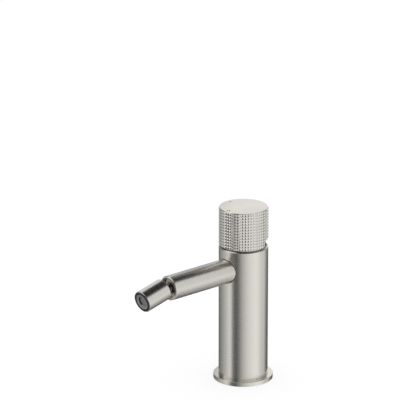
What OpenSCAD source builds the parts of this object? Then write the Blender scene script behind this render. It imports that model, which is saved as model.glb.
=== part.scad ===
// Single-handle bidet mixer with a knurled handle and a swivelling spray nozzle.
// Millimetres, +Z up, origin on the tap axis at the deck face, spout along -Y.

/* [Body] */
// Outer diameter of the body, which the handle shares
body_d = 45; // [41:0.5:52]
// Wall of the body shell
body_wall = 3; // [2.5:0.25:3.5]
// Height of the body's top rim above the deck
body_top = 127.5; // [115:0.5:150]
// Chamfer on the body's top rim
rim_chamfer = 0.8; // [0.3:0.1:1.2]
// Diameter of the deck flange
flange_d = 54.5; // [49:0.5:66]
// Thickness of the deck flange
flange_h = 4; // [4:0.25:6]
// Chamfer on the flange's upper edge
flange_chamfer = 0.5; // [0.2:0.1:1]

/* [Spout] */
// Outer diameter of the spout tube
spout_d = 22.5; // [20:0.5:24]
// Wall of the spout tube
spout_wall = 2.75; // [2:0.25:4]
// Distance from the tap axis to the spout's end face
spout_reach = 90.3; // [70:0.1:130]
// Chamfer round the spout's end face
spout_chamfer = 1; // [0.3:0.1:1.5]
// Metal between the top of the spout and the cartridge seat
spout_cover = 1.35; // [1:0.05:6]

/* [Nozzle] */
// Outer diameter of the nozzle
nozzle_d = 20; // [19:0.25:24]
// Distance from the ball's centre back to the nozzle's rear edge
nozzle_back = 3; // [2.5:0.1:3.2]
// Distance from the ball's centre forward to the nozzle's tip
nozzle_front = 22.8; // [21:0.1:30]
// Wall of the nozzle round its ball socket
nozzle_wall = 1.5; // [1:0.1:2]
// Chamfers on the nozzle's two edges
nozzle_chamfer = 0.4; // [0.2:0.1:0.8]
// Distance from the spout's end face to the ball's centre
ball_gap = 8; // [7.5:0.1:12]
// Downward tilt of the nozzle as it is left at rest
nozzle_tilt = 14; // [0:1:20]

/* [Handle] */
// Gap between the body's rim and the handle
handle_gap = 1.2; // [1:0.1:2.5]
// Height of the handle
handle_h = 35.7; // [31:0.1:50]
// Wall of the knurled sleeve behind the knurl
handle_wall = 3; // [2:0.25:3.5]
// Rows of pyramids up the handle
knurl_rows = 13; // [8:1:18]
// Pyramids round the handle
knurl_cols = 54; // [36:1:72]
// Height of each pyramid
knurl_depth = 0.6; // [0.3:0.05:0.8]
// Angle of the first groove between the pyramids
knurl_turn = 0.9; // [0:0.1:10]
// Plain land below the lowest row
knurl_land = 0.25; // [0.1:0.05:1]
// Bevel round the handle's top
cap_bevel = 0.5; // [0.2:0.05:1]
// Height of the clearance notch at the back of the handle
notch_h = 6; // [5.6:0.1:8]
// Distance of the notch's front edge behind the tap axis
notch_y = 5.8; // [4:0.1:7]
// Radius of the notch's inner corner
notch_r = 5; // [1:0.5:5]

/* [Cartridge] */
// Outer diameter of the cartridge casing
casing_d = 25; // [23:0.2:28]
// Wall of the cartridge casing
casing_wall = 1.1; // [0.8:0.1:1.5]
// Thickness of each ceramic disc
disc_h = 3; // [2:0.25:3.5]
// Height of the tilt pin above the rotor's underside
pivot_h = 5.9; // [4.5:0.1:8]
// Diameter of the spindle's ball, which moves the upper disc
spindle_ball_d = 5.2; // [4.6:0.1:5.8]
// Diameter of the tilt pin
pin_d = 3; // [2:0.25:4]

/* [Inlets and fixing] */
// Wall diameter of the two M10 hose threads
inlet_d = 9; // [8:0.1:10]
// Depth of the hose threads
inlet_depth = 12; // [8:0.5:14]
// Sideways distance of each hose thread from the tap axis
inlet_x = 7; // [6:0.25:7.5]
// Wall diameter of the M8 fixing stud thread
stud_d = 6.8; // [5:0.1:8]
// Depth of the stud thread
stud_depth = 13; // [8:0.5:14]
// Diameter of the flange's hole for hoses and stud
deck_hole_d = 28; // [26:0.5:31]

/* [Clearances] */
// Clearance round pieces that are screwed or pushed together
fit = 0.1; // [0.05:0.01:0.2]
// Clearance round pins and faces that run on each other
run = 0.05; // [0.02:0.01:0.1]
// Clearance of the ball joint's spherical faces
ball_run = 0.1; // [0.05:0.01:0.2]

/* [Hidden] */
$fn = 96;
far = 200;
// Overrun of cuts, thin gap round rubber rings, and free space between pieces that turn
over = 1;
hair = 0.02;
free = 0.2;

body_r = body_d / 2;
shell_in_r = body_r - body_wall;
block_r = shell_in_r - fit;
flange_r = flange_d / 2;
// Depth of the groove in the flange that the shell stands in
shell_seat = 0.8;
shell_z = flange_h - shell_seat;
// Step inside the shell's top rim, which leaves a thin lip
lip_wall = 1.4;
lip_h = 2.5;
lip_in_r = body_r - lip_wall;
lip_z = body_top - lip_h;

// Mounting foot, which stands on the flange inside the shell
foot_h = 16;
foot_top = flange_h + foot_h;
inlet_y = 4;
stud_y = -8.5;
water_r = 3.5;
foot_seal_wire = 1.15;
foot_seal_gap = 1.7;
foot_seal_r = water_r + foot_seal_gap;

// Screws that hold the foot to the valve block
screw_r = 1.5;
screw_head_r = 2.6;
screw_edge = 4;
screw_circle = block_r - screw_edge;
screw_angles = [90, 210, 330];
screw_bite = 7;
screw_key_r = 1;
screw_key_depth = 0.9;

// Groove and ring under the flange
seal_margin = 2.75;
seal_w = 3;
seal_h = 2;
seal_out_r = flange_r - seal_margin;
seal_in_r = seal_out_r - seal_w;

// Valve block: a base disc, a cast waist and a head with the cartridge socket
block_base_h = 8;
waist_cut = 4.9;
waist_r = block_r - waist_cut;
head_h = 38;
head_drop = 1;
head_top = body_top - head_drop;
head_z = head_top - head_h;
socket_depth = 6.5;
seat_z = head_top - socket_depth;
port_circle = 5.8;
port_r = 2.5;
port_angles = [150, 30, 270];
port_overlap = 4;
block_seal_wire = 1.6;
block_seal_drop = 4;
block_seal_heights = [foot_top + block_base_h - block_seal_drop / 2, head_z + block_seal_drop];

// Spout
spout_r = spout_d / 2;
spout_z = seat_z - spout_cover - spout_r;
spot_r = spout_r + fit;
spot_y = sqrt(pow(block_r, 2) - pow(spot_r, 2)) - free;
spigot_step = 3.35;
spigot_r = spout_r - spigot_step;
spigot_len = 7;
spigot_wall = 2.4;
spigot_bore_r = spigot_r - spigot_wall;
spigot_groove = 1;
spigot_groove_w = 1.8;
chamber_step = 1;
chamber_r = spigot_bore_r + chamber_step;
chamber_end = 2;
spout_bore_r = spout_r - spout_wall;
spout_root = 3;
spout_plug = 12;
// Hollow in the spout's end, inside its rim
mouth_rim = 0.5;
mouth_depth = 3;
mouth_r = spout_r - spout_chamfer - mouth_rim;

// Ball joint
ball_y = spout_reach + ball_gap;
nozzle_r = nozzle_d / 2;
socket_r = nozzle_r - nozzle_wall;
liner_wall = 0.8;
liner_r = socket_r - ball_run;
ball_r = liner_r - liner_wall - ball_run;
liner_back = 3;
liner_front = 3.9;
neck_step = 3.15;
neck_r = ball_r - neck_step;
stem_wall = 1.5;
stem_bore_r = neck_r - stem_wall;
shank_step = 1.1;
shank_r = neck_r + shank_step;
shank_tail = 2;
shank_len = spout_plug + shank_tail;
stem_seal_wire = 1.2;
stem_groove_w = 1.6;

// Nozzle fittings, counted forward from the ball's centre
ball_seat_z = 3;
ball_seat_h = 8.5;
ball_seat_bore_r = 4.5;
washer_h = 0.8;
washer_in_r = 5;
aerator_z = ball_seat_z + ball_seat_h + washer_h;
aerator_proud = 0.6;
aerator_wall = 1.05;
aerator_floor = 1.2;
aerator_top = nozzle_front + aerator_proud;
aerator_collar_r = nozzle_r - nozzle_chamfer - fit;
insert_r = socket_r - fit - aerator_wall;
insert_rim = 0.45;
insert_sink = 0.3;
insert_face_drop = 1.1;
insert_web = 2.2;
insert_top = aerator_top - insert_sink;
pit_margin = 2.3;
pit_depth = 1;
pit_r = insert_r - insert_rim - pit_margin;
jet_r = 0.35;
jet_rings = 2;
jet_pitch = (pit_r - jet_r) / (jet_rings + 0.4);
key_w = 2;
key_depth = 0.8;
key_turn = 19;

// Cartridge, counted up from its seat
casing_r = casing_d / 2;
casing_in_r = casing_r - casing_wall;
casing_flange_w = 2.2;
casing_flange_r = casing_r + casing_flange_w;
casing_flange_h = 2.4;
base_h = 4.4;
base_seal_wire = 0.95;
base_seal_gap = 0.85;
base_seal_r = port_r + base_seal_gap;
disc_r = casing_in_r - 2 * free;
disc_gap = 0.02;
disc_port_r = port_r - free;
moving_room = 3;
moving_r = casing_in_r - moving_room;
pocket_step = 1.8;
pocket_r = port_r + pocket_step;
carrier_h = 4.2;
carrier_cut = 0.7;
carrier_flat = moving_r - carrier_cut;
fixed_z = seat_z + base_h;
moving_z = fixed_z + disc_h + disc_gap;
carrier_z = moving_z + disc_h;
carrier_bore_r = spindle_ball_d / 2 + 1.5 * fit;
rotor_z = carrier_z + carrier_h + free;
rotor_r = casing_in_r - free;
pin_r = pin_d / 2;
pin_cover = 0.5;
pivot_z = rotor_z + pivot_h;
rotor_top = pivot_z - pin_r - pin_cover;
neck_ring_step = 3.4;
neck_ring_r = casing_in_r - neck_ring_step;
casing_roof_z = rotor_top + free;
casing_roof_h = 2.5;
casing_top = casing_roof_z + casing_roof_h;
neck_rise = 2;
rotor_neck_top = casing_top + neck_rise;
pin_len = 2 * (neck_ring_r - pin_cover);

// Spindle, its slot in the rotor and its ball in the carrier
spindle_w = 7.8;
spindle_slot_front = 4.8;
spindle_slot_back = 5.6;
spindle_boss_wall = 2.7;
spindle_boss_r = pin_r + spindle_boss_wall;
spindle_ball_r = spindle_ball_d / 2;
spindle_ball_z = carrier_z + free + spindle_ball_r;
spindle_stem_step = 0.6;
spindle_stem_r = spindle_ball_r - spindle_stem_step;

// Cartridge nut and its cover
nut_thread_w = 1.2;
nut_r = casing_flange_r + nut_thread_w;
nut_z = seat_z + casing_flange_h;
nut_collar_w = 2;
nut_collar_r = casing_r + nut_collar_w;
nut_collar_h = 5;
nut_top = head_top + nut_collar_h;
nut_slot_w = 4;
nut_slot_h = 2.5;
cover_h = 0.8;
cover_in_r = nut_collar_r + 2 * fit;
cover_wall = 0.6;

// Handle
handle_z = body_top + handle_gap;
handle_top = handle_z + handle_h;
valley_r = body_r - knurl_depth;
handle_bore_r = valley_r - handle_wall;
cap_h = 4;
cap_rim_z = handle_top - cap_bevel;
knurl_z = handle_z + knurl_land;
knurl_h = cap_rim_z - knurl_z;
// Room above the rotor for the handle's tilt
tilt_room = 6;
adapter_z = rotor_neck_top + tilt_room;
adapter_top = handle_top - cap_h;
adapter_r = handle_bore_r - fit;
spindle_cover = 1.4;
spindle_top = adapter_top - spindle_cover;
grub_r = 2.45;
grub_z = (adapter_z + adapter_top) / 2;
grub_recess = 3.9;
grub_len = adapter_r - spindle_w / 2 - grub_recess;
grub_key_r = 1.3;
grub_key_depth = 3;
plug_step = 0.25;
plug_r = grub_r + plug_step;
plug_sink = 0.4;
plug_len = handle_wall - plug_sink;

// Index marks let into the handle's cap: a dot and a ring
mark_depth = 0.4;
mark_sink = 0.05;
mark_edge = 4.3;
mark_circle = body_r - mark_edge;
dot_r = 0.75;
dot_angle = 180;
ring_out_r = 1.4;
ring_in_r = 0.85;
ring_angle = 270;

nickel = [0.72, 0.70, 0.66];
brass = [0.80, 0.66, 0.36];
steel = [0.66, 0.66, 0.68];
rubber = [0.10, 0.10, 0.11];
plastic = [0.85, 0.85, 0.82];
ceramic = [0.93, 0.92, 0.88];
black = [0.07, 0.07, 0.08];
grey = [0.48, 0.48, 0.50];

// A rubber ring of round wire, lying flat round the Z axis
module o_ring(mid_r, wire) {
  rotate_extrude() translate([mid_r, 0]) circle(d = wire, $fn = 32);
}

// A round bar standing on z, which also cuts a round hole
module bar(r, z, h) {
  translate([0, 0, z]) cylinder(r = r, h = h);
}

// A straight tube standing on z
module tube(out_r, in_r, z, h) {
  difference() {
    bar(out_r, z, h);
    bar(in_r, z - over, h + 2 * over);
  }
}

// A bar across the tap, along X at height z
module cross_bar(r, z, len) {
  translate([0, 0, z]) rotate([0, 90, 0]) cylinder(r = r, h = len, center = true);
}

// Children laid along the spout's axis, with their Z pointing towards its end
module on_spout(y) {
  translate([0, -y, spout_z]) rotate([90, 0, 0]) children();
}

// Children laid along the nozzle's axis, from the ball's centre
module on_nozzle() {
  translate([0, -ball_y, spout_z]) rotate([90 + nozzle_tilt, 0, 0]) children();
}

// Children laid along the grub screw's axis, from the tap axis towards the back
module on_grub(y) {
  translate([0, y, grub_z]) rotate([-90, 0, 0]) children();
}

// Copies of the children round the tap axis
module around(angles, r) {
  for (a = angles) rotate([0, 0, a]) translate([r, 0, 0]) children();
}

// The two hose inlets
module at_inlets() {
  for (side = [-1, 1]) translate([side * inlet_x, inlet_y, 0]) children();
}

// Shape of a body screw, or of the hole for it when there is a gap round it
module screw_shape(gap, end_z) {
  cone_h = screw_head_r - screw_r;
  translate([0, 0, flange_h]) cylinder(r1 = screw_head_r + gap, r2 = screw_r + gap, h = cone_h);
  bar(screw_r + gap, flange_h, end_z - flange_h);
}

module base_flange() {
  color(nickel) difference() {
    rotate_extrude() polygon([
      [deck_hole_d / 2, 0],
      [flange_r, 0],
      [flange_r, flange_h - flange_chamfer],
      [flange_r - flange_chamfer, flange_h],
      [deck_hole_d / 2, flange_h]
    ]);
    tube(seal_out_r + fit, seal_in_r - fit, -over, seal_h + over);
    tube(body_r + fit, shell_in_r - fit, shell_z, shell_seat + over);
  }
}

module base_seal() {
  color(rubber) tube(seal_out_r, seal_in_r, 0, seal_h - fit);
}

module body_screws() {
  color(steel) around(screw_angles, screw_circle) difference() {
    screw_shape(0, foot_top + screw_bite - fit);
    translate([0, 0, flange_h - over]) cylinder(r = screw_key_r, h = screw_key_depth + over, $fn = 6);
  }
}

module mounting_foot() {
  color(brass) difference() {
    bar(block_r, flange_h, foot_h);
    at_inlets() {
      bar(inlet_d / 2, flange_h - over, inlet_depth + over);
      bar(water_r, flange_h, foot_h + over);
      tube(foot_seal_r + foot_seal_wire / 2 + run, foot_seal_r - foot_seal_wire / 2 - run,
           foot_top - foot_seal_wire - run, foot_seal_wire + over);
    }
    translate([0, stud_y, 0]) bar(stud_d / 2, flange_h - over, stud_depth + over);
    around(screw_angles, screw_circle) screw_shape(fit, foot_top + over);
  }
}

module foot_seals() {
  color(rubber) at_inlets()
    translate([0, 0, foot_top - foot_seal_wire / 2 - hair]) o_ring(foot_seal_r, foot_seal_wire);
}

module body_shell() {
  color(nickel) difference() {
    rotate_extrude() polygon([
      [shell_in_r, shell_z],
      [body_r, shell_z],
      [body_r, body_top - rim_chamfer],
      [body_r - rim_chamfer, body_top],
      [lip_in_r, body_top],
      [lip_in_r, lip_z],
      [shell_in_r, lip_z]
    ]);
    on_spout(0) cylinder(r = spot_r, h = body_r + over);
  }
}

module valve_block() {
  groove_r = block_r - block_seal_wire + fit;
  groove_w = block_seal_wire + 2 * fit;
  color(brass) difference() {
    union() {
      bar(block_r, foot_top, block_base_h);
      bar(waist_r, foot_top, head_z - foot_top + over);
      bar(block_r, head_z, head_h);
    }
    // Hose waterways, joined to the cartridge's ports near the top
    at_inlets() bar(water_r, foot_top - over, seat_z - port_overlap - foot_top + over);
    around(port_angles, port_circle) bar(port_r, seat_z - 2 * port_overlap, 2 * port_overlap + over);
    // Way from the mixed port down to the spout
    around([port_angles[2]], port_circle) bar(port_r, spout_z, seat_z - spout_z);
    // Cartridge socket and the nut's thread
    bar(casing_flange_r + fit, seat_z, socket_depth + over);
    bar(nut_r + fit, nut_z, socket_depth + over);
    // Spot face, spigot socket and mixing chamber of the spout
    on_spout(spot_y) cylinder(r = spot_r, h = block_r);
    on_spout(spot_y - spigot_len - fit) cylinder(r = spigot_r + fit, h = block_r);
    on_spout(chamber_end) cylinder(r = chamber_r, h = block_r);
    // Grooves of the two rings that steady the shell
    for (z = block_seal_heights) tube(block_r + over, groove_r, z - groove_w / 2, groove_w);
    around(screw_angles, screw_circle) bar(screw_r + fit, foot_top - over, screw_bite + over);
  }
}

module block_seals() {
  color(rubber) for (z = block_seal_heights)
    translate([0, 0, z]) o_ring(shell_in_r - block_seal_wire / 2 - hair, block_seal_wire - 2 * hair);
}

module spout_tube() {
  body_len = spout_reach - spot_y;
  color(nickel) difference() {
    union() {
      on_spout(spot_y) rotate_extrude() polygon([
        [0, 0],
        [spout_r, 0],
        [spout_r, body_len - spout_chamfer],
        [spout_r - spout_chamfer, body_len],
        [0, body_len]
      ]);
      on_spout(spot_y - spigot_len) cylinder(r = spigot_r, h = spigot_len + over);
    }
    on_spout(spot_y - spigot_len - over) cylinder(r = spigot_bore_r, h = spigot_len + spout_root + 2 * over);
    on_spout(spot_y + spout_root) cylinder(r = spout_bore_r, h = body_len - spout_plug - spout_root);
    on_spout(spout_reach - spout_plug - over) cylinder(r = shank_r + run, h = spout_plug + 2 * over);
    on_spout(spout_reach - mouth_depth) cylinder(r = mouth_r, h = mouth_depth + over);
    on_spout(spot_y - spigot_len / 2)
      tube(spigot_r + over, spigot_r - spigot_groove, -spigot_groove_w / 2, spigot_groove_w);
  }
}

module spout_seal() {
  wire = spigot_groove + fit - 2 * hair;
  color(rubber) on_spout(spot_y - spigot_len / 2) o_ring(spigot_r - spigot_groove + wire / 2 + hair, wire);
}

module ball_stem() {
  color(nickel) difference() {
    union() {
      on_spout(ball_y) sphere(r = ball_r);
      on_spout(spout_reach - over) cylinder(r = neck_r, h = ball_gap + over);
      on_spout(spout_reach - shank_len) cylinder(r = shank_r, h = shank_len);
    }
    on_spout(spout_reach - shank_len - over) cylinder(r = stem_bore_r, h = far);
    on_spout(spout_reach - spout_plug / 2)
      tube(shank_r + over, shank_r - stem_seal_wire, -stem_groove_w / 2, stem_groove_w);
  }
}

module stem_seal() {
  color(rubber) on_spout(spout_reach - spout_plug / 2)
    o_ring(shank_r - stem_seal_wire / 2 + hair, stem_seal_wire);
}

module cartridge_base() {
  color(plastic) difference() {
    bar(casing_in_r - fit, seat_z, base_h);
    around(port_angles, port_circle) {
      bar(port_r, seat_z - over, base_h + 2 * over);
      tube(base_seal_r + base_seal_wire / 2 + run, base_seal_r - base_seal_wire / 2 - run,
           seat_z - over, base_seal_wire + run + over);
    }
  }
}

module cartridge_seals() {
  color(rubber) around(port_angles, port_circle)
    translate([0, 0, seat_z + base_seal_wire / 2 + hair]) o_ring(base_seal_r, base_seal_wire);
}

module cartridge_casing() {
  color(plastic) difference() {
    union() {
      bar(casing_flange_r, seat_z, casing_flange_h);
      bar(casing_r, seat_z, casing_top - seat_z);
    }
    bar(casing_in_r, seat_z - over, casing_roof_z - seat_z + over);
    bar(neck_ring_r + fit, seat_z, far);
  }
}

module fixed_disc() {
  color(ceramic) difference() {
    bar(disc_r, fixed_z, disc_h);
    around(port_angles, port_circle) bar(disc_port_r, fixed_z - over, disc_h + 2 * over);
  }
}

module cartridge_nut() {
  color(brass) difference() {
    union() {
      bar(nut_r, nut_z, head_top - nut_z);
      bar(nut_collar_r, nut_z, nut_top - nut_z);
    }
    bar(casing_r + fit, nut_z - over, far);
    for (a = [0, 90]) rotate([0, 0, a])
      translate([-far / 2, -nut_slot_w / 2, nut_top - nut_slot_h]) cube([far, nut_slot_w, far]);
  }
}

module nut_cover() {
  color(nickel) difference() {
    union() {
      bar(block_r, head_top, cover_h);
      bar(cover_in_r + cover_wall, head_top, nut_collar_h);
    }
    bar(cover_in_r, head_top - over, far);
  }
}

module rotor() {
  cheek_x = carrier_flat + run;
  color(plastic) difference() {
    union() {
      bar(rotor_r, rotor_z, rotor_top - rotor_z);
      bar(neck_ring_r, rotor_z, rotor_neck_top - rotor_z);
      // Two cheeks that turn the disc carrier
      difference() {
        bar(rotor_r, carrier_z + free, rotor_z - carrier_z);
        translate([-cheek_x, -far / 2, 0]) cube([2 * cheek_x, far, rotor_z]);
      }
    }
    translate([-spindle_w / 2 - run, -spindle_slot_front, 0])
      cube([spindle_w + 2 * run, spindle_slot_front + spindle_slot_back, far]);
    cross_bar(pin_r, pivot_z, pin_len);
  }
}

module tilt_pin() {
  color(steel) cross_bar(pin_r, pivot_z, pin_len);
}

module disc_carrier() {
  color(plastic) difference() {
    intersection() {
      bar(moving_r, carrier_z, carrier_h);
      translate([-carrier_flat, -far / 2, 0]) cube([2 * carrier_flat, far, far]);
    }
    bar(carrier_bore_r, carrier_z - over, carrier_h + 2 * over);
  }
}

module moving_disc() {
  color(ceramic) difference() {
    bar(moving_r, moving_z, disc_h);
    translate([0, -port_r, 0]) bar(pocket_r, moving_z - over, disc_h / 2 + over);
  }
}

module spindle() {
  color(steel) difference() {
    union() {
      cross_bar(spindle_boss_r, pivot_z, spindle_w);
      translate([-spindle_w / 2, -spindle_w / 2, pivot_z])
        cube([spindle_w, spindle_w, spindle_top - pivot_z]);
      bar(spindle_stem_r, spindle_ball_z, pivot_z - spindle_ball_z);
      translate([0, 0, spindle_ball_z]) sphere(r = spindle_ball_r);
    }
    cross_bar(pin_r + run, pivot_z, far);
  }
}

module handle_adapter() {
  socket = spindle_w + 2 * fit;
  color(steel) difference() {
    bar(adapter_r, adapter_z, adapter_top - adapter_z);
    translate([-socket / 2, -socket / 2, adapter_z - over])
      cube([socket, socket, spindle_top + free - adapter_z + over]);
    on_grub(0) cylinder(r = grub_r + fit, h = far);
  }
}

module grub_screw() {
  color(steel) on_grub(spindle_w / 2 + fit) difference() {
    cylinder(r = grub_r, h = grub_len);
    translate([0, 0, grub_len - grub_key_depth])
      cylinder(r = grub_key_r, h = grub_key_depth + over, $fn = 6);
  }
}

module grub_plug() {
  color(nickel) on_grub(handle_bore_r + fit) cylinder(r = plug_r, h = plug_len);
}

// Solid cylinder covered with rows of four-sided pyramids, above a plain land
module knurl() {
  step = 360 / knurl_cols;
  pitch = knurl_h / knurl_rows;
  function ring(r, turn, z) =
    [for (i = [0:knurl_cols - 1]) [r * cos((i + turn) * step), r * sin((i + turn) * step), z]];
  function at(j, i) = j * knurl_cols + i % knurl_cols;
  rings = [for (j = [0:knurl_rows]) each ring(valley_r, 0, knurl_z + j * pitch)];
  tips = [for (j = [0:knurl_rows - 1]) each ring(body_r, 0.5, knurl_z + (j + 0.5) * pitch)];
  sides = [for (j = [0:knurl_rows - 1]) for (i = [0:knurl_cols - 1])
    let (tip = len(rings) + at(j, i), a = at(j, i), b = at(j, i + 1), c = at(j + 1, i + 1), d = at(j + 1, i))
    each [[tip, b, a], [tip, c, b], [tip, d, c], [tip, a, d]]];
  floor_face = [for (i = [0:knurl_cols - 1]) at(0, i)];
  roof_face = [for (i = [knurl_cols - 1:-1:0]) at(knurl_rows, i)];
  rotate([0, 0, knurl_turn])
    polyhedron(points = concat(rings, tips), faces = concat(sides, [floor_face, roof_face]));
}

// Side view of the clearance that lets the handle tilt back over the body
module notch() {
  top = handle_z + notch_h;
  low = handle_z - over;
  rotate([90, 0, 90]) translate([0, 0, -far / 2]) linear_extrude(far) {
    translate([notch_y + notch_r, low]) square([far, top - low]);
    translate([notch_y, low]) square([far, top - notch_r - low]);
    translate([notch_y + notch_r, top - notch_r]) circle(r = notch_r);
  }
}

module handle_sleeve() {
  color(nickel) difference() {
    union() {
      knurl();
      bar(valley_r - fit, handle_z, knurl_land + over);
    }
    bar(handle_bore_r, handle_z - over, handle_h + over);
    notch();
    on_grub(0) cylinder(r = plug_r + fit, h = far);
  }
}

module handle_cap() {
  color(nickel) difference() {
    rotate_extrude() polygon([
      [0, adapter_top],
      [adapter_r, adapter_top],
      [adapter_r, cap_rim_z],
      [valley_r, cap_rim_z],
      [valley_r - cap_bevel, handle_top],
      [0, handle_top]
    ]);
    mark_shapes(hair, mark_depth + over);
  }
}

// The dot and the ring, or the pits for them when there is a gap round them
module mark_shapes(gap, h) {
  z = handle_top - mark_depth;
  around([dot_angle], mark_circle) bar(dot_r + gap, z, h);
  around([ring_angle], mark_circle) tube(ring_out_r + gap, ring_in_r - gap, z, h);
}

module index_marks() {
  color(black) mark_shapes(0, mark_depth - mark_sink);
}

module ball_liner() {
  color(black) on_spout(ball_y) intersection() {
    difference() {
      sphere(r = liner_r);
      sphere(r = ball_r + ball_run);
    }
    bar(far, -liner_back, liner_back + liner_front);
  }
}

module nozzle_shell() {
  color(nickel) on_nozzle() difference() {
    rotate_extrude() polygon([
      [0, -nozzle_back],
      [nozzle_r - nozzle_chamfer, -nozzle_back],
      [nozzle_r, nozzle_chamfer - nozzle_back],
      [nozzle_r, nozzle_front - nozzle_chamfer],
      [nozzle_r - nozzle_chamfer, nozzle_front],
      [0, nozzle_front]
    ]);
    sphere(r = socket_r);
    cylinder(r = socket_r, h = far);
  }
}

module ball_seat() {
  color(plastic) on_nozzle() difference() {
    bar(socket_r, ball_seat_z, ball_seat_h);
    sphere(r = socket_r);
    cylinder(r = ball_seat_bore_r, h = far);
  }
}

module aerator_washer() {
  color(rubber) on_nozzle() tube(socket_r - fit, washer_in_r, aerator_z - washer_h, washer_h);
}

module aerator_housing() {
  color(black) on_nozzle() difference() {
    union() {
      bar(socket_r - fit, aerator_z, aerator_top - aerator_z);
      // Collar that lies on the nozzle's front edge
      bar(aerator_collar_r, nozzle_front + run, aerator_proud - run);
    }
    bar(insert_r, aerator_z + aerator_floor, far);
    bar(washer_in_r, aerator_z - over, far);
    // Two slots for the aerator key
    for (a = [90, 270]) rotate([0, 0, a + key_turn])
      translate([insert_r - over, -key_w / 2, aerator_top - key_depth]) cube([far, key_w, far]);
  }
}

module aerator_insert() {
  floor_z = aerator_z + aerator_floor;
  face = insert_top - insert_face_drop;
  hollow_r = insert_r - insert_rim;
  color(grey) on_nozzle() difference() {
    bar(insert_r - run, floor_z, insert_top - floor_z);
    bar(hollow_r, face, far);
    bar(hollow_r, floor_z - over, face - insert_web - floor_z + over);
    // Round pit that the jets open into
    bar(pit_r, face - pit_depth, pit_depth + over);
    bar(jet_r, floor_z, far);
    for (ring = [1:jet_rings]) around([for (k = [1:6 * ring]) 60 * k / ring], ring * jet_pitch)
      bar(jet_r, floor_z, far);
  }
}

base_flange();
base_seal();
body_screws();
mounting_foot();
foot_seals();
body_shell();
valve_block();
block_seals();
spout_tube();
spout_seal();
ball_stem();
stem_seal();
cartridge_base();
cartridge_seals();
cartridge_casing();
fixed_disc();
cartridge_nut();
nut_cover();
rotor();
tilt_pin();
disc_carrier();
moving_disc();
spindle();
handle_adapter();
grub_screw();
grub_plug();
handle_sleeve();
handle_cap();
index_marks();
ball_liner();
nozzle_shell();
ball_seat();
aerator_washer();
aerator_housing();
aerator_insert();
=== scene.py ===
import math

import bpy
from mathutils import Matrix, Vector


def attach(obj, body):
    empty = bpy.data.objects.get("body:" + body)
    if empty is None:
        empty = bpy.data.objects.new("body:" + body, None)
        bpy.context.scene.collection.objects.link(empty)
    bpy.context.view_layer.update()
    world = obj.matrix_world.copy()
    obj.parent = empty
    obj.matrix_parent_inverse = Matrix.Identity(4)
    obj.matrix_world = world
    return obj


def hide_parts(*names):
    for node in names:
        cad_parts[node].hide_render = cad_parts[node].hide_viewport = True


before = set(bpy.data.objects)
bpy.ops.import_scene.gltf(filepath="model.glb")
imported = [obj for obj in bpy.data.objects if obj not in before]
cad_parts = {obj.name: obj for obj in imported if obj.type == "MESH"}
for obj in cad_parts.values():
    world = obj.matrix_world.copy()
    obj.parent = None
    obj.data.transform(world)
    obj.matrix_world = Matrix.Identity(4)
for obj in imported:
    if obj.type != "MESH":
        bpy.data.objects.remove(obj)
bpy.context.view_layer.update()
scene = bpy.context.scene
scene.view_settings.view_transform = "Standard"
mm = 0.001
print("frame loaded:", len(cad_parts), "nodes")


# Camera

photoView = {
    "target": (0.0, 0.0, 0.080),
    "standAzimuth": 47.95,   # degrees round to the right of the spout
    "standHeight": 20.203,   # degrees above the target
    "distance": 2.9931,
    "gazeAzimuth": 48.606,
    "gazeDrop": 18.703,
    "lens": 284.35,
    "sensor": 36.0,
    "farClip": 20.0,
}


def addCamera():
    view = photoView
    azimuth, height = math.radians(view["standAzimuth"]), math.radians(view["standHeight"])
    gaze, drop = math.radians(view["gazeAzimuth"]), math.radians(view["gazeDrop"])
    away = Vector((math.sin(azimuth) * math.cos(height), -math.cos(azimuth) * math.cos(height),
                   math.sin(height)))
    forward = Vector((-math.sin(gaze) * math.cos(drop), math.cos(gaze) * math.cos(drop),
                      -math.sin(drop)))
    bpy.ops.object.camera_add(location=Vector(view["target"]) + view["distance"] * away,
                              rotation=forward.to_track_quat("-Z", "Y").to_euler())
    camera = bpy.context.object
    camera.name = "photoCamera"
    camera.data.lens = view["lens"]
    camera.data.sensor_width = view["sensor"]
    camera.data.clip_end = view["farClip"]
    scene.camera = camera


# Modelling helpers

mergeReach = 0.002      # mm, points closer than this become one
overCut = 1.0           # mm, cutters reach this far past the face they open


def clearSelection():
    if bpy.context.object and bpy.context.object.mode != "OBJECT":
        bpy.ops.object.mode_set(mode="OBJECT")
    bpy.ops.object.select_all(action="DESELECT")


def makeActive(obj):
    clearSelection()
    obj.select_set(True)
    bpy.context.view_layer.objects.active = obj


def pickFaces(obj, test):
    makeActive(obj)
    bpy.ops.object.mode_set(mode="EDIT")
    bpy.ops.mesh.select_mode(type="FACE")
    bpy.ops.mesh.select_all(action="DESELECT")
    bpy.ops.object.mode_set(mode="OBJECT")
    for face in obj.data.polygons:
        face.select = test(face.center, face.normal)
    bpy.ops.object.mode_set(mode="EDIT")


def pickEdges(obj, test):
    makeActive(obj)
    bpy.ops.object.mode_set(mode="EDIT")
    bpy.ops.mesh.select_mode(type="EDGE")
    bpy.ops.mesh.select_all(action="DESELECT")
    bpy.ops.object.mode_set(mode="OBJECT")
    verts = obj.data.vertices
    for edge in obj.data.edges:
        edge.select = test(verts[edge.vertices[0]].co, verts[edge.vertices[1]].co)
    bpy.ops.object.mode_set(mode="EDIT")


def applyPlace(obj):
    makeActive(obj)
    bpy.ops.object.transform_apply(location=True, rotation=True, scale=True)


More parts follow.
